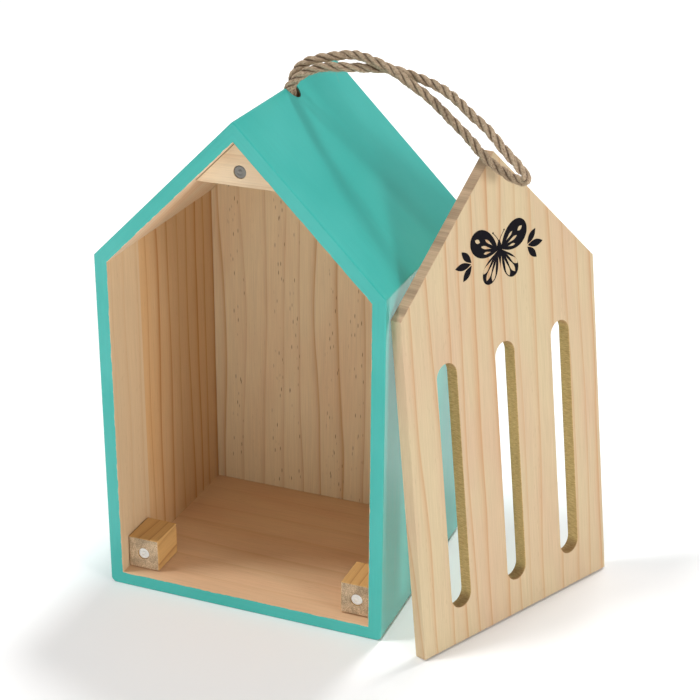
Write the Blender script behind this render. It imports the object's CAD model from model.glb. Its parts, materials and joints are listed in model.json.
"""Looks of the butterfly house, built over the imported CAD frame.

The house's boards are painted teal outside and bare pine inside, the loose front panel is bare
pine with a small black print, and the loop is three-strand jute rope. Metres, +Z up; the house's
open front looks along -Y. A piece's own texture coordinates are in metres too.
"""

import json
from math import atan2, cos, pi, radians, sin, sqrt, tan

import bmesh
import bpy
import numpy as np
from mathutils import Matrix, Vector


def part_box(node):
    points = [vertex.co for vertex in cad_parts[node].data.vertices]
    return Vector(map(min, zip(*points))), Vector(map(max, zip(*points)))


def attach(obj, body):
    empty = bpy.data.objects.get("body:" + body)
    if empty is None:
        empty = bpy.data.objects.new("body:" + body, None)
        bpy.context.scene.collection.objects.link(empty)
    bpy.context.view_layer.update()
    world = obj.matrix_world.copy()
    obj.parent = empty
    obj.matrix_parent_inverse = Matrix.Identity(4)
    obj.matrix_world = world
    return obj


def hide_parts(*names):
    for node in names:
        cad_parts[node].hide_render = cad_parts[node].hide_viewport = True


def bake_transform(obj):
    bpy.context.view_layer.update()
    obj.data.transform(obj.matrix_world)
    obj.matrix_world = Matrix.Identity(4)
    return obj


MM = 0.001

# Camera, as the photograph was taken: a long lens, a little above and to the right
CAMERA_PLACE = (0.33215, -0.75912, 0.49092)
CAMERA_PITCH = radians(24.147)
CAMERA_YAW = radians(-21.471)
CAMERA_ROLL = radians(0.410)
LENS_MM = 91.72
SENSOR_MM = 36.0

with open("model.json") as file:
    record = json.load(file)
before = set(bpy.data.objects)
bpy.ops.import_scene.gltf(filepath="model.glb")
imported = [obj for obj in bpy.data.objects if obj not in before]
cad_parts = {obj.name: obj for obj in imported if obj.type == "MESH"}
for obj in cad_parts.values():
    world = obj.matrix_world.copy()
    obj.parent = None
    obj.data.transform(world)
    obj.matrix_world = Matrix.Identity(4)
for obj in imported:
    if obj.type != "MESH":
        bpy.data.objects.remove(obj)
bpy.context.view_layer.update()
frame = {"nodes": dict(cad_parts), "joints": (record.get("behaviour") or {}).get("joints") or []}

# Sizes that the CAD boards set
wall_low, wall_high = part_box("right_wall")
HALF_WIDTH = wall_high.x
HALF_DEPTH = wall_high.y
INNER_HALF_WIDTH = wall_low.x
BOARD = HALF_WIDTH - INNER_HALF_WIDTH
CAD_GAP = 0.3 * MM
RIDGE_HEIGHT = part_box("right_roof_board")[1].z + CAD_GAP / 2
EAVE_HEIGHT = RIDGE_HEIGHT - HALF_WIDTH
INNER_RIDGE_HEIGHT = RIDGE_HEIGHT - BOARD * sqrt(2)
INNER_EAVE_HEIGHT = INNER_RIDGE_HEIGHT - INNER_HALF_WIDTH

# Rounding of the boards
BASE_RADIUS = 3.0 * MM
EAVE_RADIUS = 1.5 * MM
RIDGE_RADIUS = 1.0 * MM
INSIDE_RADIUS = 0.15 * MM
OUTER_EDGE_RADIUS = 0.7 * MM
INNER_EDGE_RADIUS = 0.4 * MM
ARC_STEPS = 8
EDGE_STEPS = 4
ROUND_STEPS = 48
SHARP_ANGLE = radians(30)

# The front panel's own frame: X along its width, Y up it, Z out of its front
PANEL_LEAN = radians(7.4)
PANEL_WIDTH = 132 * MM
PANEL_EAVE = 172 * MM
SLOT_WIDTH = 13 * MM
SLOT_PITCH = 39.3 * MM
SLOT_BOTTOM = 18.4 * MM
SLOT_TOP = 144.5 * MM
SLOT_END_MM = 5.5
PANEL_EDGE_RADIUS = 0.5 * MM

# The magnets, the steel discs and the pockets they sit in
DISC_RADIUS = 3 * MM
DISC_THICKNESS = 2 * MM
POCKET_RADIUS = 3.2 * MM
MAGNET_POCKET_DEPTH = 2.3 * MM
DISC_POCKET_DEPTH = 2.4 * MM

# Rope: three strands, laid right-handed
ROPE_DIAMETER = 4.8 * MM
ROPE_HOLE_RADIUS = 5.3 * MM
ROPE_HOLE_Y = 4 * MM
ROPE_RUN_OFFSET = 2.55 * MM
KNOT_HEIGHT = 235 * MM
KNOT_TOP = 241.5 * MM
STRAND_RADIUS = 1.22 * MM
STRAND_ORBIT = 1.16 * MM
STRAND_SIDES = 10
ROPE_LAY = 20 * MM
ROPE_STEP = 0.8 * MM
RIDGE_RUN = 7 * MM
FIBRE_COUNT = 1500
FIBRE_FREE_END = 32 * MM
ROPE_ROUTE_MM = [
    (1.0, 6.5, 261.0), (5.5, 6.5, 267.0), (13.0, 6.5, 270.5), (22.5, 6.0, 273.0),
    (32.5, 4.5, 275.0), (42.0, 1.5, 274.5), (51.5, 0.0, 272.0), (62.0, -1.0, 266.5),
    (71.0, -1.0, 261.0), (79.5, -1.5, 254.5), (88.0, -2.0, 247.5), (94.5, -3.5, 242.5),
    (100.0, -4.5, 237.5), (104.5, -3.0, 233.0), (109.5, -2.0, 229.5), (114.5, -3.0, 227.5),
    (120.0, -6.0, 227.5), (123.5, -10.5, 230.0), (123.5, -16.0, 235.0), (119.5, -19.0, 241.0),
    (113.5, -18.5, 246.5), (106.5, -16.0, 252.5), (98.0, -11.5, 256.5), (88.5, -5.5, 261.0),
    (77.5, 0.0, 265.0), (68.0, 3.5, 267.0), (58.0, 6.0, 268.5), (49.0, 6.0, 269.5),
    (39.0, 4.0, 269.5), (29.0, 1.5, 269.5), (19.0, 1.5, 268.5), (11.5, 1.5, 266.0),
    (6.0, 1.5, 262.5), (3.0, 1.5, 259.5),
]

HOUSE, PANEL, LOOP = "house", "front_panel", "hanging_loop"


# ---- Shader nodes ----


class Graph:
    """A material's nodes, with short ways to add and join them."""

    def __init__(self, name):
        self.material = bpy.data.materials.new(name)
        self.material.use_nodes = True
        self.tree = self.material.node_tree
        self.shader = self.tree.nodes["Principled BSDF"]

    def node(self, kind, **settings):
        made = self.tree.nodes.new(kind)
        for key, value in settings.items():
            setattr(made, key, value)
        return made

    def join(self, value, socket):
        if isinstance(value, bpy.types.NodeSocket):
            self.tree.links.new(value, socket)
        else:
            socket.default_value = value

    def math(self, operation, *values):
        made = self.node("ShaderNodeMath", operation=operation)
        for value, socket in zip(values, made.inputs):
            self.join(value, socket)
        return made.outputs[0]

    def add(self, a, b):
        return self.math("ADD", a, b)

    def minus(self, a, b):
        return self.math("SUBTRACT", a, b)

    def times(self, a, b):
        return self.math("MULTIPLY", a, b)

    def vector(self, place, factors):
        """Three coordinates as one place, each multiplied by its own factor."""
        made = self.node("ShaderNodeCombineXYZ")
        for value, factor, socket in zip(place, factors, made.inputs):
            self.join(value if factor == 1 else self.times(value, factor), socket)
        return made.outputs[0]

    def noise(self, place, factors=(1, 1, 1), scale=1.0, detail=2.0, roughness=0.5):
        made = self.node("ShaderNodeTexNoise")
        self.join(self.vector(place, factors), made.inputs["Vector"])
        made.inputs["Scale"].default_value = scale
        made.inputs["Detail"].default_value = detail
        made.inputs["Roughness"].default_value = roughness
        return made.outputs["Fac"]

    def cells(self, place, factors):
        """Distance to the nearest of many points scattered about 1 apart."""
        made = self.node("ShaderNodeTexVoronoi")
        self.join(self.vector(place, factors), made.inputs["Vector"])
        made.inputs["Scale"].default_value = 1.0
        return made.outputs["Distance"]

    def chance(self, value):
        """A fixed random number for each whole value."""
        made = self.node("ShaderNodeTexWhiteNoise", noise_dimensions="1D")
        self.join(value, made.inputs["W"])
        return made.outputs["Value"]

    def smooth(self, value, low, high):
        """0 at low to 1 at high, easing in and out."""
        made = self.node("ShaderNodeMapRange", interpolation_type="SMOOTHSTEP")
        self.join(value, made.inputs["Value"])
        made.inputs["From Min"].default_value = low
        made.inputs["From Max"].default_value = high
        return made.outputs["Result"]

    def mix(self, share, low, high):
        made = self.node("ShaderNodeMix", data_type="RGBA")
        self.join(share, made.inputs["Factor"])
        for value, socket in ((low, made.inputs[6]), (high, made.inputs[7])):
            self.join((*value, 1.0) if isinstance(value, tuple) else value, socket)
        return made.outputs[2]

    def blend(self, share, low, high):
        """A plain number between low and high."""
        return self.add(self.times(share, self.minus(high, low)), low)

    def shade(self, colour, brightness):
        """A colour made lighter or darker by a number near 1."""
        made = self.node("ShaderNodeVectorMath", operation="SCALE")
        self.join(colour, made.inputs[0])
        self.join(brightness, made.inputs["Scale"])
        return made.outputs[0]

    def split(self, vector):
        made = self.node("ShaderNodeSeparateXYZ")
        self.join(vector, made.inputs[0])
        return made.outputs

    def place(self):
        """The piece's own coordinates, in millimetres."""
        coordinates = self.node("ShaderNodeTexCoord").outputs["Object"]
        return [self.times(axis, 1000.0) for axis in self.split(coordinates)]

    def finish(self, height=None, depth=0.0, **values):
        """The material, with its shader's values and a bump made from a height."""
        for key, value in values.items():
            self.join(value, self.shader.inputs[key.replace("_", " ")])
        if height is not None:
            bump = self.node("ShaderNodeBump")
            bump.inputs["Strength"].default_value = 1.0
            bump.inputs["Distance"].default_value = depth
            self.join(height, bump.inputs["Height"])
            self.join(bump.outputs["Normal"], self.shader.inputs["Normal"])
        return self.material


# ---- Pine ----

PALE_PINE = (0.75, 0.55, 0.335)
LATE_WOOD = (0.56, 0.315, 0.135)
WARM_PINE = (0.76, 0.55, 0.36)
DUCT_BROWN = (0.22, 0.11, 0.05)


def pine(graph, face, seed, spacing=12.0, contrast=0.8, light=PALE_PINE, dark=LATE_WOOD,
         warm=WARM_PINE, ducts=0.15, joint=None):
    """Colour and height of a sawn pine face: growth rings, fibres and resin ducts.

    Face holds the coordinates across the face, through it and along the grain. A board glued up
    from two staves is plainer and paler before its joint than after it.
    """
    across, through, along = face
    sweep = graph.noise((across, seed, along), (0.03, 1, 0.0035))
    ripple = graph.noise((across, seed + 5, along), (0.15, 1, 0.02))
    lean = graph.add(across, graph.times(through, 0.45))
    shifted = graph.add(lean, graph.add(graph.blend(sweep, -11.0, 11.0), graph.blend(ripple, -0.5, 0.5)))
    phase = graph.add(graph.times(shifted, 1 / spacing), seed)
    ring = graph.math("FRACT", phase)
    number = graph.math("FLOOR", phase)
    weight = graph.add(graph.times(graph.chance(number), 0.75), 0.25)
    late = graph.math("POWER", ring, 7.0)
    start = graph.smooth(ring, 0.06, 0.0)
    line = graph.times(graph.math("MAXIMUM", late, start), weight)

    fibre = graph.noise(face, (1.9, 1.9, 0.045), detail=4.0, roughness=0.65)
    tone = graph.noise((across, seed + 9, along), (0.04, 1, 0.012))
    near_duct = graph.smooth(graph.cells(face, (0.7, 0.7, 0.12)), 0.22, 0.08)
    ducted_ring = graph.smooth(graph.chance(graph.add(number, 0.37)), 0.5, 0.6)
    duct = graph.times(graph.times(near_duct, ducted_ring), graph.smooth(ring, 0.3, 0.5))

    warmth = graph.smooth(tone, 0.35, 0.7)
    if joint is not None:
        beyond = graph.smooth(across, joint - 0.15, joint + 0.15)
        fading = graph.blend(graph.smooth(across, joint + 4.0, joint + 40.0), 1.0, 0.5)
        warmth = graph.times(graph.times(beyond, fading), graph.blend(tone, 0.3, 1.1))
        line = graph.times(line, graph.blend(beyond, 0.3, 1.0))
    body = graph.mix(warmth, light, warm)
    ringed = graph.mix(graph.times(line, contrast), body, dark)
    grained = graph.shade(ringed, graph.blend(fibre, 0.83, 1.17))
    colour = graph.mix(graph.times(duct, ducts), grained, DUCT_BROWN)
    height = graph.add(graph.times(fibre, 0.7), graph.times(line, 0.35))
    return colour, height


def end_grain(graph, across, up, seed, light, dark):
    """Colour and height of sawn end grain: speckles, curved rings and a few stains."""
    bend = graph.math("SQRT", graph.add(graph.times(across, across), graph.times(up, up)))
    ring = graph.math("FRACT", graph.add(graph.times(bend, 0.45), seed))
    speck = graph.noise((across, up, seed), scale=2.4, detail=5.0, roughness=0.75)
    stain = graph.noise((across, up, seed + 3), scale=0.16, detail=3.0)
    body = graph.mix(graph.smooth(speck, 0.36, 0.66), dark, light)
    ringed = graph.mix(graph.times(graph.smooth(ring, 0.55, 1.0), 0.3), body, dark)
    colour = graph.shade(ringed, graph.blend(graph.smooth(stain, 0.42, 0.66), 1.04, 0.72))
    return colour, speck


def wood_material(name, axes, seed, **look):
    """Bare pine; axes says which coordinates run across the face, through it and along the grain."""
    graph = Graph(name)
    place = graph.place()
    colour, height = pine(graph, [place[i] for i in axes], seed, **look)
    roughness = graph.blend(height, 0.66, 0.52)
    return graph.finish(
        height, 0.06 * MM, Base_Color=colour, Roughness=roughness, Specular_IOR_Level=0.35
    )


def end_material(name, axes, seed, light=(0.83, 0.64, 0.42), dark=(0.41, 0.28, 0.17)):
    graph = Graph(name)
    place = graph.place()
    colour, height = end_grain(graph, place[axes[0]], place[axes[1]], seed, light, dark)
    return graph.finish(height, 0.1 * MM, Base_Color=colour, Roughness=0.75, Specular_IOR_Level=0.25)


# ---- Paint ----

TEAL = (0.034, 0.425, 0.370)
TEAL_LIGHT = (0.055, 0.465, 0.41)
PAINT_SHORT_MM = 0.12
PAINT_WANDER_MM = 0.38
BORE_BOTTOM_MM = 200.0


def painted_material(name, along_axis, seed, **look):
    """Teal paint outside, bare pine inside, with a slightly uneven edge between them."""
    graph = Graph(name)
    x, y, z = graph.place()
    half_width, ridge, board = HALF_WIDTH / MM, RIDGE_HEIGHT / MM, BOARD / MM
    beside = graph.math("ABSOLUTE", x)
    from_wall = graph.minus(half_width, beside)
    from_roof = graph.times(graph.minus(graph.minus(ridge, z), beside), sqrt(0.5))
    depth = graph.math("MINIMUM", graph.math("MINIMUM", from_wall, from_roof), z)
    slope = graph.times(graph.minus(z, beside), sqrt(0.5))
    along = {"x": x, "z": z, "slope": slope}[along_axis]

    # The paint stops a little short of the inner edge, here more, there less
    wander = graph.noise((along, seed, y), (0.2, 1, 0.2), detail=5.0)
    missing = graph.times(graph.smooth(wander, 0.4, 0.8), PAINT_WANDER_MM)
    limit = graph.minus(board - PAINT_SHORT_MM, missing)
    bare = graph.smooth(graph.minus(depth, limit), -0.06, 0.06)
    rear = HALF_DEPTH / MM
    bare = graph.times(bare, graph.smooth(y, rear - 0.1, rear - 0.2))
    hole_y = graph.add(y, -ROPE_HOLE_Y / MM)
    from_hole = graph.math("SQRT", graph.add(graph.times(x, x), graph.times(hole_y, hole_y)))
    hole = ROPE_HOLE_RADIUS / MM
    in_hole = graph.smooth(from_hole, hole + 0.1, hole + 0.02)
    near_ridge = graph.smooth(z, BORE_BOTTOM_MM, BORE_BOTTOM_MM + 1.0)
    drilled = graph.times(graph.times(in_hole, graph.smooth(depth, 0.5, 0.9)), near_ridge)
    bare = graph.math("MAXIMUM", bare, drilled)

    wood, wood_height = pine(graph, (y, depth, along), seed, **look)
    wood = graph.shade(wood, graph.blend(drilled, 1.0, 0.35))
    streak = graph.noise((y, depth, along), (0.9, 0.9, 0.035), detail=3.0, roughness=0.6)
    cloud = graph.noise((x, y, z), scale=0.02, detail=3.0)
    peel = graph.noise((x, y, z), scale=0.9)
    teal = graph.mix(graph.smooth(cloud, 0.3, 0.75), TEAL, TEAL_LIGHT)
    teal = graph.shade(teal, graph.blend(streak, 0.92, 1.08))
    paint_height = graph.add(graph.times(streak, 0.8), graph.times(peel, 0.35))
    return graph.finish(
        graph.blend(bare, paint_height, wood_height), 0.05 * MM,
        Base_Color=graph.mix(bare, teal, wood),
        Roughness=graph.blend(bare, graph.blend(streak, 0.27, 0.45), 0.6),
        Specular_IOR_Level=0.3,
        Coat_Weight=graph.blend(bare, 0.6, 0.0),
        Coat_Roughness=0.2,
    )


# ---- Metal, ink, rope, floor ----


def metal_material(name, colour, roughness):
    """Plated metal with faint turning marks and a little tarnish."""
    graph = Graph(name)
    place = graph.place()
    tarnish = graph.noise(place, scale=0.9, detail=4.0)
    return graph.finish(
        graph.noise(place, scale=9.0), 0.01 * MM,
        Base_Color=graph.shade(colour, graph.blend(tarnish, 0.86, 1.1)),
        Metallic=1.0,
        Roughness=graph.blend(tarnish, roughness - 0.08, roughness + 0.12),
    )


def ink_material():
    """Black printing ink, thinner where the wood's fibres stand up."""
    graph = Graph("ink")
    x, y, z = graph.place()
    fibre = graph.noise((x, z, y), (2.2, 1, 0.12), detail=4.0)
    worn = graph.smooth(fibre, 0.6, 0.78)
    return graph.finish(
        fibre, 0.02 * MM,
        Base_Color=graph.mix(worn, (0.005, 0.004, 0.007), (0.022, 0.017, 0.018)),
        Roughness=0.8,
        Specular_IOR_Level=0.12,
    )


def jute_material():
    """Twisted jute: fine fibres along each strand, dark in the grooves between strands."""
    graph = Graph("jute")
    around, along, _ = graph.split(graph.node("ShaderNodeUVMap", uv_map="strand").outputs["UV"])
    twisted = graph.add(graph.times(around, 9.0), graph.times(along, 1.1))
    fibre = graph.noise((twisted, along, 0.0), (1.6, 0.35, 1), scale=1.6, detail=4.0, roughness=0.7)
    hair = graph.noise((twisted, along, 3.0), (5.0, 0.9, 1), detail=3.0)
    patch = graph.noise((around, 0.0, along), (1, 1, 0.35), detail=3.0)
    out = graph.node("ShaderNodeAttribute", attribute_name="outward").outputs["Fac"]
    groove = graph.smooth(out, 0.58, 0.92)
    fleck = graph.noise(graph.place(), scale=1.3, detail=3.0, roughness=0.7)
    straw = graph.mix(graph.smooth(fibre, 0.32, 0.62), (0.34, 0.225, 0.135), (0.66, 0.50, 0.345))
    for pattern, low, high, share, tint in (
        (hair, 0.55, 0.72, 0.6, (0.78, 0.66, 0.50)),
        (hair, 0.42, 0.3, 0.6, (0.19, 0.11, 0.065)),
        (fleck, 0.47, 0.34, 0.75, (0.17, 0.085, 0.05)),
        (fleck, 0.56, 0.7, 0.6, (0.76, 0.62, 0.46)),
    ):
        straw = graph.mix(graph.times(graph.smooth(pattern, low, high), share), straw, tint)
    straw = graph.shade(straw, graph.blend(patch, 0.62, 1.14))
    colour = graph.mix(graph.times(groove, graph.smooth(fleck, 0.2, 0.4)), (0.14, 0.09, 0.055), straw)
    return graph.finish(
        graph.add(fibre, graph.times(hair, 0.6)), 0.25 * MM,
        Base_Color=colour, Roughness=0.9, Specular_IOR_Level=0.2, Sheen_Weight=0.05,
    )


def hair_material():
    """The loose fibres that stand off the rope."""
    graph = Graph("jute_fibres")
    shade = graph.noise(graph.place(), scale=0.5)
    colour = graph.mix(shade, (0.36, 0.26, 0.16), (0.60, 0.48, 0.33))
    return graph.finish(Base_Color=colour, Roughness=0.85)


def floor_material():
    graph = Graph("studio_floor")
    grain = graph.noise(graph.place(), scale=0.002)
    colour = graph.mix(grain, (0.93, 0.93, 0.93), (0.95, 0.95, 0.95))
    return graph.finish(Base_Color=colour, Roughness=0.6)


# ---- Mesh helpers ----


def new_object(name, data):
    """A new object in the scene: a piece, a tool, the camera or a light."""
    made = bpy.data.objects.new(name, data)
    bpy.context.scene.collection.objects.link(made)
    return made


def final_mesh(item):
    """The item's mesh with its modifiers or curve settings worked in; the item itself goes."""
    bpy.context.view_layer.update()
    graph = bpy.context.evaluated_depsgraph_get()
    mesh = bpy.data.meshes.new_from_object(item.evaluated_get(graph))
    bpy.data.objects.remove(item)
    return mesh


def add_piece(name, mesh, materials, body, nodes=()):
    """Put a mesh in the scene as a piece that rides on a body and stands for CAD nodes."""
    piece = new_object(name, mesh)
    mesh.materials.clear()
    for material in materials:
        mesh.materials.append(material)
    if body:
        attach(piece, body)
    if nodes:
        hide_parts(*nodes)
    return piece


def soften(piece):
    """Smooth shading over rounded edges that leaves flat faces flat."""
    piece.data.shade_smooth()
    piece.data.set_sharp_from_angle(angle=SHARP_ANGLE)
    weighted = piece.modifiers.new("weighted_normals", "WEIGHTED_NORMAL")
    weighted.keep_sharp = True


def add_finished(node, mesh, materials, body=HOUSE):
    """A softened piece that stands for one CAD node."""
    piece = add_piece(f"{node}_finished", mesh, materials, body, [node])
    soften(piece)
    return piece


def mesh_of(shape, name):
    mesh = bpy.data.meshes.new(name)
    bmesh.ops.recalc_face_normals(shape, faces=shape.faces)
    shape.to_mesh(mesh)
    shape.free()
    return mesh


def subtract(mesh, cutter_mesh):
    """The mesh with the cutter's shape taken out of it."""
    body = new_object("cut_body", mesh)
    cutter = new_object("cut_tool", cutter_mesh)
    modifier = body.modifiers.new("cut", "BOOLEAN")
    modifier.operation = "DIFFERENCE"
    modifier.solver = "EXACT"
    modifier.object = cutter
    result = final_mesh(body)
    bpy.data.objects.remove(cutter)
    return result


def cylinder_mesh(radius, start, end):
    """A cylinder between two points."""
    start, end = Vector(start), Vector(end)
    axis = end - start
    shape = bmesh.new()
    bmesh.ops.create_cone(
        shape, cap_ends=True, segments=ROUND_STEPS, radius1=radius, radius2=radius, depth=axis.length
    )
    turn = Vector((0, 0, 1)).rotation_difference(axis).to_matrix().to_4x4()
    shape.transform(Matrix.Translation((start + end) / 2) @ turn)
    return mesh_of(shape, "cylinder")


def prism(outline, front, depth):
    """A solid from an outline of X and Z, from its front to a depth behind it along +Y."""
    shape = bmesh.new()
    face = shape.faces.new([shape.verts.new((x, front, z)) for x, z in outline])
    made = bmesh.ops.extrude_face_region(shape, geom=[face])
    moved = [item for item in made["geom"] if isinstance(item, bmesh.types.BMVert)]
    bmesh.ops.translate(shape, verts=moved, vec=(0, depth, 0))
    bmesh.ops.recalc_face_normals(shape, faces=shape.faces)
    return shape


def round_edges(shape, edges, radius, segments):
    bmesh.ops.bevel(shape, geom=edges, offset=radius, segments=segments, affect="EDGES", profile=0.5)


def middle_of(node):
    low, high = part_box(node)
    return (low + high) / 2


def house_outline(half, foot, peak):
    """The front view of a house with 45 degree roofs, from its lower left corner."""
    return [(-half, foot), (half, foot), (half, peak - half), (0, peak), (-half, peak - half)]


def rounded_outline(corners, radii, steps):
    """The points of a convex outline in the XZ plane with each corner rounded to its radius."""
    corners = [Vector((x, 0, z)) for x, z in corners]
    points = []
    for i, corner in enumerate(corners):
        before = (corners[i - 1] - corner).normalized()
        after = (corners[(i + 1) % len(corners)] - corner).normalized()
        half = before.angle(after) / 2
        start = before * (radii[i] / tan(half))
        end = after * (radii[i] / tan(half))
        centre = (before + after).normalized() * (radii[i] / sin(half))
        first, last = (start - centre).normalized(), (end - centre).normalized()
        for k in range(steps + 1):
            points.append(corner + centre + first.slerp(last, k / steps) * radii[i])
    return points


def quarter(radius, steps):
    """A quarter round as (depth under one face, distance from the other) pairs."""
    turns = [pi / 2 * i / steps for i in range(steps + 1)]
    return [(radius * (1 - cos(a)), radius * (1 - sin(a))) for a in turns]


# ---- House ----

# Each board's grain direction, the seed of its grain and what differs from plain pine
BOARD_LOOKS = {
    "left_wall": ("z", 3.7, {
        "spacing": 11.0, "contrast": 1.2, "joint": -29.0,
        "light": (0.67, 0.50, 0.31), "warm": (0.66, 0.39, 0.17), "dark": (0.50, 0.23, 0.075),
    }),
    "right_wall": ("z", 11.2, {}),
    "left_roof_board": ("slope", 17.9, {
        "spacing": 10.0, "contrast": 0.5, "light": (0.80, 0.66, 0.48),
    }),
    "right_roof_board": ("slope", 23.4, {"spacing": 11.0, "contrast": 0.6}),
    "floor_board": ("x", 31.6, {
        "spacing": 17.0, "contrast": 0.4, "light": (0.74, 0.52, 0.32), "warm": (0.72, 0.47, 0.285),
    }),
}


def shell_mesh():
    """All five outer boards as one ring, with rounded edges and the rope's hole."""
    outer_corners = house_outline(HALF_WIDTH, 0, RIDGE_HEIGHT)
    inner_corners = house_outline(INNER_HALF_WIDTH, BOARD, INNER_RIDGE_HEIGHT)
    outer_radii = [BASE_RADIUS, BASE_RADIUS, EAVE_RADIUS, RIDGE_RADIUS, EAVE_RADIUS]
    outer = rounded_outline(outer_corners, outer_radii, ARC_STEPS)
    inner = rounded_outline(inner_corners, [INSIDE_RADIUS] * 5, ARC_STEPS)

    outside = quarter(OUTER_EDGE_RADIUS, EDGE_STEPS)
    inside = [(BOARD - depth, y) for depth, y in quarter(INNER_EDGE_RADIUS, EDGE_STEPS)][::-1]
    front = [(depth, -HALF_DEPTH + y) for depth, y in outside + inside]
    section = front + [(depth, -y) for depth, y in front[::-1]]

    shape = bmesh.new()
    loops = []
    for out, into in zip(outer, inner):
        loops.append([shape.verts.new(out.lerp(into, d / BOARD) + Vector((0, y, 0))) for d, y in section])
    for i, loop in enumerate(loops):
        following = loops[(i + 1) % len(loops)]
        for k in range(len(section)):
            after = (k + 1) % len(section)
            shape.faces.new((loop[k], loop[after], following[after], following[k]))
    mesh = mesh_of(shape, "shell")
    foot, head = INNER_EAVE_HEIGHT + BOARD, RIDGE_HEIGHT + BOARD
    hole = cylinder_mesh(ROPE_HOLE_RADIUS, (0, ROPE_HOLE_Y, foot), (0, ROPE_HOLE_Y, head))
    return subtract(mesh, hole)


def slice_board(shell, planes):
    """What is left of the shell behind each plane, given as (point, outward normal)."""
    shape = bmesh.new()
    shape.from_mesh(shell)
    for point, normal in planes:
        everything = shape.verts[:] + shape.edges[:] + shape.faces[:]
        bmesh.ops.bisect_plane(
            shape, geom=everything, dist=1e-7, plane_co=point, plane_no=normal, clear_outer=True
        )
        rim = [edge for edge in shape.edges if edge.is_boundary]
        bmesh.ops.holes_fill(shape, edges=rim)
    return mesh_of(shape, "board")


def make_boards():
    """Walls, roof boards and floor, cut from one ring so that the paint runs over their joints."""
    shell = shell_mesh()
    butt = INNER_HALF_WIDTH - 0.1 * MM
    eave_up = Vector((-sin(pi / 8), 0, cos(pi / 8)))
    for side, label in ((-1, "left"), (1, "right")):
        eave = Vector((side * HALF_WIDTH, 0, EAVE_HEIGHT))
        up = Vector((side * eave_up.x, 0, eave_up.z))
        wall_planes = [(eave, up), ((side * butt, 0, 0), (-side, 0, 0))]
        roof_planes = [(eave, -up), ((0, 0, 0), (-side, 0, 0))]
        add_board(f"{label}_wall", slice_board(shell, wall_planes))
        add_board(f"{label}_roof_board", slice_board(shell, roof_planes))
    middle = (0, 0, INNER_EAVE_HEIGHT / 2)
    floor_planes = [((side * butt, 0, 0), (side, 0, 0)) for side in (-1, 1)] + [(middle, (0, 0, 1))]
    add_board("floor_board", slice_board(shell, floor_planes))


def add_board(name, mesh):
    along, seed, grain = BOARD_LOOKS[name]
    material = painted_material(f"{name}_finish", along, seed, **grain)
    add_finished(name, mesh, [material])


def make_back_board():
    """The back board inside the ring: bare pine in front, painted behind."""
    play = 0.15 * MM
    peak = INNER_RIDGE_HEIGHT - play * sqrt(2)
    outline = house_outline(INNER_HALF_WIDTH - play, BOARD + play, peak)
    shape = prism(outline, HALF_DEPTH - BOARD, BOARD)
    rear = [edge for edge in shape.edges if all(v.co.y > HALF_DEPTH - MM for v in edge.verts)]
    round_edges(shape, rear, 0.4 * MM, 3)
    mesh = mesh_of(shape, "back_board")
    bare = wood_material(
        "back_board_pine", (0, 1, 2), 41.3, contrast=1.0,
        light=(0.80, 0.66, 0.43), warm=(0.78, 0.60, 0.38), ducts=0.85,
    )
    paint = painted_material("back_board_paint", "z", 47.1)
    add_finished("back_board", mesh, [bare, paint])
    for face in mesh.polygons:
        face.material_index = int(face.normal.y > 0.3)


def add_magnet_pocket(shape, front, magnet):
    """The block's mesh with a pocket in its front, where the magnet is."""
    start = middle_of(magnet)
    start.y = front
    pocket = cylinder_mesh(
        POCKET_RADIUS, start - Vector((0, 2 * MM, 0)), start + Vector((0, MAGNET_POCKET_DEPTH, 0))
    )
    return subtract(mesh_of(shape, "block"), pocket)


def make_blocks():
    """The two square corner blocks and the three-sided block under the ridge."""
    for label, seed in (("left", 53.2), ("right", 59.8)):
        low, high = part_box(f"{label}_block")
        shape = bmesh.new()
        bmesh.ops.create_cube(shape, size=1.0)
        shape.transform(Matrix.Translation((low + high) / 2) @ Matrix.Diagonal((*(high - low), 1)))
        round_edges(shape, shape.edges[:], 0.7 * MM, 3)
        mesh = add_magnet_pocket(shape, low.y, f"{label}_magnet")
        side = wood_material(
            f"{label}_block_side", (0, 2, 1), seed, spacing=5.0, contrast=0.9,
            light=(0.66, 0.41, 0.16), warm=(0.58, 0.33, 0.12), dark=(0.38, 0.17, 0.05),
        )
        end = end_material(f"{label}_block_end", (0, 2), seed)
        add_finished(f"{label}_block", mesh, [side, end])
        for face in mesh.polygons:
            face.material_index = int(abs(face.normal.y) > 0.85)
    make_ridge_block()


def make_ridge_block():
    """The top block; its peak is cut a little off, which leaves a gap under the left roof board."""
    low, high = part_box("top_block")
    slack = 1.0 * MM
    corners = [(low.x, low.z), (high.x, low.z), (0.3 * MM, high.z - 0.2 * MM), (-slack, high.z - slack)]
    shape = prism(corners, low.y, high.y - low.y)
    round_edges(shape, shape.edges[:], 0.25 * MM, 2)
    mesh = add_magnet_pocket(shape, low.y, "top_magnet")
    pale = wood_material(
        "ridge_block_pine", (2, 1, 0), 67.4, spacing=9.0, contrast=0.45, light=(0.78, 0.62, 0.42)
    )
    add_finished("top_block", mesh, [pale])


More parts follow.
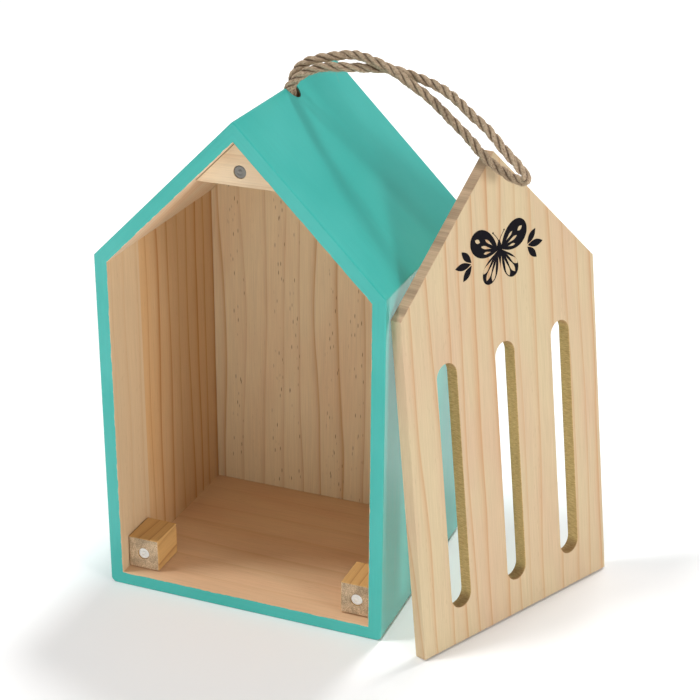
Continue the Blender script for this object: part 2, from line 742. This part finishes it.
def turned_disc(radius, thickness):
    """A disc with a softened rim and a fine ring on its face, which looks along +Z."""
    ring, rim = 0.42 * radius, 0.12 * MM
    profile = [(0.0, 0.0), (ring - rim, 0.0), (ring, -rim / 2), (ring + rim, 0.0)]
    profile += [(radius - 2 * rim, 0.0), (radius - rim / 2, -rim / 2), (radius, -2 * rim)]
    profile += [(radius, -thickness), (0.0, -thickness)]
    shape = bmesh.new()
    points = [shape.verts.new((r, 0, z)) for r, z in profile]
    edges = [shape.edges.new(pair) for pair in zip(points, points[1:])]
    bmesh.ops.spin(
        shape, geom=points + edges, cent=(0, 0, 0), axis=(0, 0, 1), angle=2 * pi,
        steps=ROUND_STEPS, use_merge=True,
    )
    bmesh.ops.remove_doubles(shape, verts=shape.verts, dist=1e-6)
    return shape


def make_discs():
    """The magnets in the blocks and the steel discs in the panel's back."""
    bright = metal_material("magnet_bright", (0.93, 0.92, 0.89), 0.30)
    dull = metal_material("magnet_dull", (0.24, 0.23, 0.21), 0.38)
    steel = metal_material("disc_steel", (0.62, 0.62, 0.63), 0.32)
    to_front = Matrix.Rotation(pi / 2, 4, "X")
    for label, material in (("left", bright), ("right", bright), ("top", dull)):
        node = f"{label}_magnet"
        low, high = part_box(node)
        shape = turned_disc((high.x - low.x) / 2, high.y - low.y)
        front = middle_of(node)
        front.y = low.y
        shape.transform(Matrix.Translation(front) @ to_front)
        add_finished(node, mesh_of(shape, node), [material])
    for label in ("left", "right", "top"):
        node = f"panel_disc_{label}"
        shape = turned_disc(DISC_RADIUS, DISC_THICKNESS)
        shape.transform(panel_frame @ disc_place(middle_of(node)))
        add_finished(node, mesh_of(shape, node), [steel], PANEL)


def disc_place(centre):
    """Where a disc lies in the panel's own frame: its face just under the panel's back."""
    local = panel_frame.inverted() @ centre
    return Matrix.Translation((local.x, local.y, CAD_GAP)) @ Matrix.Rotation(pi, 4, "X")


# ---- Front panel ----


def find_panel_frame():
    """The panel's own frame: its origin at the lower back corner by the house's open front."""
    axis = Vector(next(j for j in frame["joints"] if j["child"] == PANEL)["axis"])
    yaw = atan2(axis.y, axis.x)
    turn = Matrix.Rotation(yaw, 4, "Z") @ Matrix.Rotation(pi / 2 - PANEL_LEAN, 4, "X")
    inverse = turn.inverted()
    corners = [inverse @ vertex.co for vertex in frame["nodes"]["front_panel"].data.vertices]
    corner = Vector([min(point[i] for point in corners) for i in range(3)])
    return turn @ Matrix.Translation(corner)


def flat_mesh(name, outlines, thickness, edge=0.0, steps=0):
    """A plate in the XY plane from closed outlines, holes included, standing on Z = 0."""
    curve = bpy.data.curves.new(name, "CURVE")
    curve.dimensions = "2D"
    curve.fill_mode = "BOTH"
    curve.extrude = thickness / 2 - edge
    curve.bevel_depth = edge
    curve.bevel_resolution = steps
    curve.offset = -edge
    for outline in outlines:
        spline = curve.splines.new("POLY")
        spline.points.add(len(outline) - 1)
        for point, (x, y) in zip(spline.points, outline):
            point.co = (x, y, 0, 1)
        spline.use_cyclic_u = True
    shape = bmesh.new()
    shape.from_mesh(final_mesh(new_object(name, curve)))
    bmesh.ops.remove_doubles(shape, verts=shape.verts, dist=1e-6)
    bmesh.ops.translate(shape, verts=shape.verts, vec=(0, 0, thickness / 2))
    return mesh_of(shape, name)


def slot_outline(centre):
    """A slot with round ends."""
    radius = SLOT_WIDTH / 2
    points = []
    for y, start in ((SLOT_TOP - radius, 0), (SLOT_BOTTOM + radius, pi)):
        turns = [start + pi * i / 24 for i in range(25)]
        points += [(centre + radius * cos(a), y + radius * sin(a)) for a in turns]
    return points


def slot_material():
    """The walls of the slots: routed, so browner, with fine marks across the panel's thickness."""
    graph = Graph("slot_wall")
    place = graph.place()
    marks = graph.noise(place, (0.4, 3.6, 0.35), detail=4.0, roughness=0.7)
    soft = graph.noise(place, (1, 0.05, 1), scale=0.25)
    high = graph.minus(place[1], SLOT_TOP / MM - SLOT_END_MM)
    low = graph.minus(SLOT_BOTTOM / MM + SLOT_END_MM, place[1])
    in_end = graph.smooth(graph.math("MAXIMUM", high, low), 0.0, 4.0)
    wall = graph.mix(graph.smooth(marks, 0.25, 0.75), (0.45, 0.265, 0.095), (0.84, 0.62, 0.30))
    wall = graph.mix(graph.times(in_end, graph.blend(marks, 0.85, 0.4)), wall, (0.40, 0.20, 0.10))
    wall = graph.shade(wall, graph.blend(soft, 0.85, 1.15))
    return graph.finish(marks, 0.12 * MM, Base_Color=wall, Roughness=0.7, Specular_IOR_Level=0.25)


def make_panel():
    """The slotted front panel, bare pine."""
    middle = PANEL_WIDTH / 2
    outline = [(0, 0), (PANEL_WIDTH, 0), (PANEL_WIDTH, PANEL_EAVE)]
    outline += [(middle, PANEL_EAVE + middle), (0, PANEL_EAVE)]
    slots = [slot_outline(middle + step * SLOT_PITCH) for step in (-1, 0, 1)]
    mesh = flat_mesh("front_panel", [outline] + slots, BOARD, PANEL_EDGE_RADIUS, 3)
    for label in ("left", "right", "top"):
        local = panel_frame.inverted() @ middle_of(f"panel_disc_{label}")
        foot = Vector((local.x, local.y, -MM))
        head = Vector((local.x, local.y, DISC_POCKET_DEPTH))
        mesh = subtract(mesh, cylinder_mesh(POCKET_RADIUS, foot, head))
    face = wood_material(
        "panel_face", (0, 2, 1), 71.7, spacing=10.0, contrast=1.0,
        light=(0.635, 0.50, 0.305), warm=(0.635, 0.45, 0.285), dark=(0.56, 0.305, 0.14),
    )
    slope = end_material("panel_slope", (0, 1), 77.0, light=(0.66, 0.45, 0.29), dark=(0.52, 0.335, 0.21))
    piece = add_piece("front_panel_finished", mesh, [face, slope, slot_material()], None)
    for polygon in mesh.polygons:
        polygon.material_index = panel_face_kind(polygon)
    place_on_panel(piece)
    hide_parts("front_panel")
    soften(piece)


def panel_face_kind(polygon):
    """0 for the faces and upright edges, 1 for the cut slopes, 2 for the slots' walls."""
    x, y = polygon.center.x, polygon.center.y
    if abs(polygon.normal.z) > 0.7:
        return 0
    if 2 * MM < x < PANEL_WIDTH - 2 * MM and 2 * MM < y < SLOT_TOP + 2 * MM:
        return 2
    return 1 if y > PANEL_EAVE - MM and abs(polygon.normal.x) < 0.9 else 0


def place_on_panel(piece):
    piece.matrix_world = panel_frame
    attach(piece, PANEL)


# ---- Print on the panel: a plain butterfly between two sprigs ----

PRINT_CENTRE = (66 * MM, 190 * MM)
INK_THICKNESS = 0.08 * MM
INK_LIFT = 0.01 * MM
WING_STEPS = 40
LEAF_STEPS = 14


def fan(root, start, end, reach, fullest, fullness):
    """A rounded wing that spreads from its root between two directions, in degrees."""
    power = np.log(0.5) / np.log(fullest)
    outline = [root]
    for share in np.linspace(0, 1, WING_STEPS + 1)[1:-1]:
        turn = radians(start + (end - start) * share)
        far = reach * sin(pi * share**power) ** fullness
        outline.append((root[0] + far * cos(turn), root[1] + far * sin(turn)))
    return outline


def petal(base, tip, width, fullest):
    """A pointed leaf or drop shape from base to tip."""
    base, tip = np.array(base), np.array(tip)
    along = tip - base
    across = np.array([-along[1], along[0]]) / np.linalg.norm(along)
    power = np.log(0.5) / np.log(fullest)
    shares = [i / LEAF_STEPS for i in range(LEAF_STEPS + 1)]
    sides = [(share, width / 2 * sin(pi * share**power) ** 0.9) for share in shares[1:-1]]
    outline = [base] + [base + along * share + across * half for share, half in sides] + [tip]
    outline += [base + along * share - across * half for share, half in sides[::-1]]
    return [(float(x), float(y)) for x, y in outline]


def dot(centre, radius):
    turns = [2 * pi * i / 12 for i in range(12)]
    return [(centre[0] + radius * cos(a), centre[1] + radius * sin(a)) for a in turns]


def spoke(origin, angle, start, end):
    """Two points on a line that leaves origin at an angle, in degrees."""
    aim = (cos(radians(angle)), sin(radians(angle)))
    return [(origin[0] + aim[0] * r, origin[1] + aim[1] * r) for r in (start, end)]


def strip(points, width):
    """A thin line of even width along points."""
    path = np.array(points)
    heading = np.gradient(path, axis=0)
    heading /= np.linalg.norm(heading, axis=1)[:, None]
    across = np.stack([-heading[:, 1], heading[:, 0]], axis=1) * width / 2
    return [tuple(p) for p in path + across] + [tuple(p) for p in (path - across)[::-1]]


def wing_outlines():
    """One side's wings, as closed outlines in millimetres; the cells in a wing are its holes."""
    root = (0.9, 0.6)
    upper = [fan(root, -24, 74, 19.8, 0.52, 0.7)]
    for angle, end, width in ((2, 9.8, 1.2), (20, 12.0, 1.5), (40, 10.8, 1.3)):
        upper.append(petal(*spoke(root, angle, 4.6, end), width, 0.66))
    upper.append(petal(*spoke(root, 28, 13.4, 17.0), 2.0, 0.5))
    lower = [fan(root, -88, -28, 17.4, 0.5, 0.36)]
    for angle, end in ((-41, 14.4), (-56, 15.9), (-71, 15.2)):
        lower.append(petal(*spoke(root, angle, 4.6, end), 2.5, 0.72))
    return upper, lower


def body_outlines():
    """The butterfly's body and its two feelers."""
    body = petal((0, -8.8), (0, 5.6), 3.3, 0.68)
    feelers = []
    for side in (-1, 1):
        bend = [(side * (0.35 + 3.2 * t**1.6), 4.4 + 4.6 * t) for t in np.linspace(0, 1, 9)]
        feelers.append(strip(bend, 0.35))
        feelers.append(dot((side * 3.75, 9.4), 0.5))
    return body, feelers


def sprig_outlines(side):
    """Three leaves that spread outward from one point."""
    base = (side * 18.4, -2.0)
    leaves = []
    for angle, end in ((133, 9.8), (180, 11.4), (227, 9.8)):
        turn = angle if side < 0 else 180 - angle
        leaves.append(petal(*spoke(base, turn, 0.9, end), 3.6, 0.52))
    return leaves


def print_piece(name, outlines, material):
    """Ink on the panel's face."""
    left, up = PRINT_CENTRE
    placed = [[(left + x * MM, up + y * MM) for x, y in outline] for outline in outlines]
    mesh = flat_mesh(name, placed, INK_THICKNESS)
    mesh.transform(Matrix.Translation((0, 0, BOARD + INK_LIFT - INK_THICKNESS / 2)))
    place_on_panel(add_piece(name, mesh, [material], None))


def make_print():
    ink = ink_material()
    upper, lower = wing_outlines()
    body, feelers = body_outlines()
    for label, side in (("left", -1), ("right", 1)):
        for place, wing in (("upper", upper), ("lower", lower)):
            turned = [[(side * x, y) for x, y in outline] for outline in wing]
            print_piece(f"print_{place}_wing_{label}", turned, ink)
        print_piece(f"print_sprig_{label}", sprig_outlines(side), ink)
        print_piece(f"print_feeler_{label}", feelers[:2] if side < 0 else feelers[2:], ink)
    print_piece("print_body", [body], ink)


# ---- Rope ----


def travelled(path):
    """Distance along a path at each of its points."""
    return np.concatenate(([0.0], np.cumsum(np.linalg.norm(np.diff(path, axis=0), axis=1))))


def smooth_route(points, step):
    """Points a step apart along a natural cubic spline through the route's points."""
    route = np.array(points)
    knots = travelled(route)
    span = np.diff(knots)
    count = len(route)
    system = np.eye(count)
    target = np.zeros_like(route)
    for i in range(1, count - 1):
        system[i, i - 1: i + 2] = (span[i - 1], 2 * (span[i - 1] + span[i]), span[i])
        target[i] = 6 * ((route[i + 1] - route[i]) / span[i] - (route[i] - route[i - 1]) / span[i - 1])
    bend = np.linalg.solve(system, target)
    result = []
    for place in np.linspace(0, knots[-1], round(knots[-1] / step) + 1):
        i = min(int(np.searchsorted(knots, place, side="right")) - 1, count - 2)
        before, after = place - knots[i], knots[i + 1] - place
        value = (bend[i] * after**3 + bend[i + 1] * before**3) / (6 * span[i])
        value += (route[i] / span[i] - bend[i] * span[i] / 6) * after
        value += (route[i + 1] / span[i] - bend[i + 1] * span[i] / 6) * before
        result.append(value)
    return np.array(result)


def unit(rows):
    return rows / np.linalg.norm(rows, axis=-1, keepdims=True)


def path_frames(path):
    """Tangents and two side directions along a path, turned as little as possible."""
    tangents = unit(np.gradient(path, axis=0))
    side = np.array([0.0, 1.0, 0.0]) if abs(tangents[0][1]) < 0.8 else np.array([1.0, 0.0, 0.0])
    sides = []
    for tangent in tangents:
        side = unit(side - tangent * (side @ tangent))
        sides.append(side)
    sides = np.array(sides)
    return tangents, sides, np.cross(tangents, sides)


def unsteady(distance, seed):
    """A slow wander between about -1 and 1 along a rope, the same each run."""
    wave = 0.011
    return sum(sin(seed * (k + 2.3) + distance / (wave / (k + 1))) / (k + 1) for k in range(3)) / 1.6


def twisted_rope(name, path):
    """Three strands laid round a path, with the map and the groove depth that the jute needs."""
    tangents, side, other = path_frames(path)
    distance = travelled(path)
    dice = np.random.default_rng(len(path))
    sides = STRAND_SIDES
    verts, faces, maps, outward = [], [], [], []
    for strand in range(3):
        angles = 2 * pi * (distance / ROPE_LAY + strand / 3)
        spokes = np.cos(angles)[:, None] * side + np.sin(angles)[:, None] * other
        swell = np.array([1 + 0.11 * unsteady(d, 1.7 + strand) for d in distance])
        centres = path + spokes * STRAND_ORBIT * (2 - swell)[:, None]
        heading = unit(np.gradient(centres, axis=0))
        out = unit(spokes - heading * np.sum(spokes * heading, axis=1)[:, None])
        across = np.cross(heading, out)
        first = len(verts)
        for i in range(len(path)):
            for k in range(sides):
                turn = 2 * pi * k / sides + pi
                lump = 1 + dice.normal(0, 0.07)
                offset = (cos(turn) * out[i] + sin(turn) * across[i]) * STRAND_RADIUS * swell[i] * lump
                point = centres[i] + offset
                verts.append(tuple(point))
                outward.append(np.linalg.norm(point - path[i]) / (STRAND_ORBIT + STRAND_RADIUS))
        for i in range(len(path) - 1):
            for k in range(sides):
                row, above, after = first + i * sides, first + (i + 1) * sides, (k + 1) % sides
                faces.append((row + k, row + after, above + after, above + k))
                low, high = distance[i] / MM + 37 * strand, distance[i + 1] / MM + 37 * strand
                left, right = k / sides, (k + 1) / sides
                maps += [(left, low), (right, low), (right, high), (left, high)]
        for i in (0, len(path) - 1):
            ring = [first + i * sides + k for k in range(sides)]
            faces.append(ring[::-1] if i == 0 else ring)
            maps += [(0.5, distance[i] / MM)] * sides
    mesh = bpy.data.meshes.new(name)
    mesh.from_pydata(verts, [], faces)
    layer = mesh.uv_layers.new(name="strand")
    layer.data.foreach_set("uv", np.array(maps, np.float32).ravel())
    mesh.attributes.new("outward", "FLOAT", "POINT").data.foreach_set("value", outward)
    mesh.shade_smooth()
    return mesh


def loose_fibres(name, path):
    """Short fibres that stand a little off the rope, each a thin three-sided tube."""
    dice = np.random.default_rng(5)
    tangents, side, other = path_frames(path)
    verts, faces = [], []
    for _ in range(FIBRE_COUNT):
        at = int(dice.integers(0, len(path)))
        angle = dice.uniform(0, 2 * pi)
        out = cos(angle) * side[at] + sin(angle) * other[at]
        sway = cos(angle + pi / 2) * side[at] + sin(angle + pi / 2) * other[at]
        heading = unit(tangents[at] * dice.choice((-1, 1)) + sway * dice.normal(0, 0.45) + out * 0.15)
        length = dice.uniform(1.5, 5.0) * MM
        lift = dice.uniform(0.05, 0.55)
        curl = dice.normal(0, 0.3)
        start = path[at] + out * ROPE_DIAMETER / 2 * 0.86
        first = len(verts)
        for step in range(5):
            share = step / 4
            middle = start + heading * length * share + out * length * lift * share**1.5
            middle = middle + sway * length * curl * share**2
            thin = 0.055 * MM * (1 - 0.75 * share)
            for corner in range(3):
                turn = 2 * pi * corner / 3
                verts.append(tuple(middle + (out * cos(turn) + np.cross(heading, out) * sin(turn)) * thin))
        for step in range(4):
            for corner in range(3):
                row, after = first + 3 * step, (corner + 1) % 3
                faces.append((row + corner, row + after, row + 3 + after, row + 3 + corner))
        faces.append((first + 2, first + 1, first))
        faces.append((first + 12, first + 13, first + 14))
    mesh = bpy.data.meshes.new(name)
    mesh.from_pydata(verts, [], faces)
    return mesh


# A cut end below the knot: sideways, along Y and down from the knot's middle
TAIL_ROUTE_MM = [(1.5, 2.4, 3), (2.0, 3.4, 9), (3.5, 3.6, 15)]


def bend_over_ridge(piece):
    """The rope turns where it leaves the ridge: the house holds its foot, the loop its rest."""
    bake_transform(piece)


def make_rope():
    """The loop from the knot, out through the ridge, round over the panel's peak and back."""
    rear, front = ROPE_HOLE_Y + ROPE_RUN_OFFSET, ROPE_HOLE_Y - ROPE_RUN_OFFSET
    route = [(0, rear, KNOT_TOP), (0, rear, KNOT_TOP + RIDGE_RUN), (0, rear, RIDGE_HEIGHT - 2 * MM)]
    route += [tuple(value * MM for value in point) for point in ROPE_ROUTE_MM]
    route += [(0.5 * MM, front, RIDGE_HEIGHT - MM), (0, front, KNOT_TOP + RIDGE_RUN), (0, front, KNOT_TOP)]
    path = smooth_route(route, ROPE_STEP)
    jute, hair = jute_material(), hair_material()
    nodes = ["rope_loop", "rope_run_front", "rope_run_rear"]
    rope = add_piece("rope_twisted", twisted_rope("rope", path), [jute], None, nodes)
    bend_over_ridge(rope)
    bald = round(FIBRE_FREE_END / ROPE_STEP)
    fibres = add_piece("rope_fibres", loose_fibres("fibres", path[bald:-bald]), [hair], None)
    bend_over_ridge(fibres)
    knot = make_knot(jute)


def make_knot(jute):
    """The stopper knot under the ridge: three tight turns, with two short cut ends below."""
    turns = np.linspace(0, 2 * pi, 90)
    ring, wave = 3.0 * MM, 1.5 * MM
    reach = ring + wave * np.cos(3 * turns)
    height = 1.6 * wave * np.sin(3 * turns)
    path = np.stack([reach * np.cos(2 * turns), reach * np.sin(2 * turns), height], axis=1)
    path += np.array([0, ROPE_HOLE_Y, KNOT_HEIGHT])
    knot = add_piece("rope_knot_tied", twisted_rope("knot", path), [jute], HOUSE, ["rope_knot"])
    for label, side in (("front", -1), ("rear", 1)):
        steps = np.array(TAIL_ROUTE_MM) * (side, side, -1) * MM
        tail = smooth_route(steps + (0, ROPE_HOLE_Y, KNOT_HEIGHT), ROPE_STEP)
        add_piece(f"rope_tail_{label}", twisted_rope("tail", tail), [jute], HOUSE)
    return knot


# ---- Carried-over CAD nodes, floor, camera and light ----


def finish_brads():
    """The brads stay CAD pieces: steel pins inside the boards."""
    steel = metal_material("brad_steel", (0.50, 0.50, 0.52), 0.40)
    for name, node in frame["nodes"].items():
        if "_brad_" in name:
            node.data.materials.clear()
            node.data.materials.append(steel)


def make_floor():
    bpy.ops.mesh.primitive_plane_add(size=12, location=(0, 0, 0))
    floor = bpy.context.object
    floor.name = "studio_floor"
    floor.data.materials.append(floor_material())


def make_camera():
    data = bpy.data.cameras.new("camera")
    data.lens = LENS_MM
    data.sensor_width = SENSOR_MM
    camera = new_object("camera", data)
    turn = Matrix.Rotation(-CAMERA_YAW, 4, "Z") @ Matrix.Rotation(pi / 2 - CAMERA_PITCH, 4, "X")
    turn = turn @ Matrix.Rotation(CAMERA_ROLL, 4, "Z")
    camera.matrix_world = Matrix.Translation(CAMERA_PLACE) @ turn
    bpy.context.scene.camera = camera


OBJECT_MIDDLE = (0.03, 0, 0.12)
WORLD_STRENGTH = 0.29


def aim_light(light, toward):
    """Turn a light to shine along toward."""
    light.rotation_mode = "QUATERNION"
    light.rotation_quaternion = Vector(toward).to_track_quat("-Z", "Y")


def add_overhead(name, source, strength, softness):
    """A wide overhead light that reaches the whole floor evenly, from the direction of source."""
    data = bpy.data.lights.new(name, "SUN")
    data.energy = strength
    data.angle = softness
    aim_light(new_object(name, data), -Vector(source))


def add_softbox(name, place, size, power, mirrored=False):
    """A square light aimed at the object's middle; one that isn't mirrored leaves no shine."""
    data = bpy.data.lights.new(name, "AREA")
    data.size = size
    data.energy = power
    light = new_object(name, data)
    light.location = place
    light.visible_glossy = mirrored
    aim_light(light, Vector(OBJECT_MIDDLE) - Vector(place))


def make_light():
    scene = bpy.context.scene
    scene.view_settings.view_transform = "Standard"
    scene.world = bpy.data.worlds.new("studio")
    scene.world.use_nodes = True
    background = scene.world.node_tree.nodes["Background"]
    background.inputs["Color"].default_value = (1.0, 1.0, 1.0, 1.0)
    background.inputs["Strength"].default_value = WORLD_STRENGTH
    add_overhead("overhead_front", (-0.45, -0.2, 1.0), 1.3, radians(10))
    add_overhead("overhead_rear", (0.08, 0.45, 1.0), 1.25, radians(10))
    add_softbox("behind", (0.1, 1.4, 0.25), 0.6, 16)
    add_softbox("front_right", (1.2, -0.5, 0.4), 0.3, 6.0, mirrored=True)
    add_softbox("front_left", (-0.6, -0.55, 0.08), 0.4, 1.3)
    add_softbox("by_the_camera", (0.25, -1.2, 0.15), 0.8, 1.9)


panel_frame = find_panel_frame()
make_camera()
make_rope()
make_boards()
make_back_board()
make_blocks()
make_panel()
make_print()
make_discs()
finish_brads()
make_floor()
make_light()
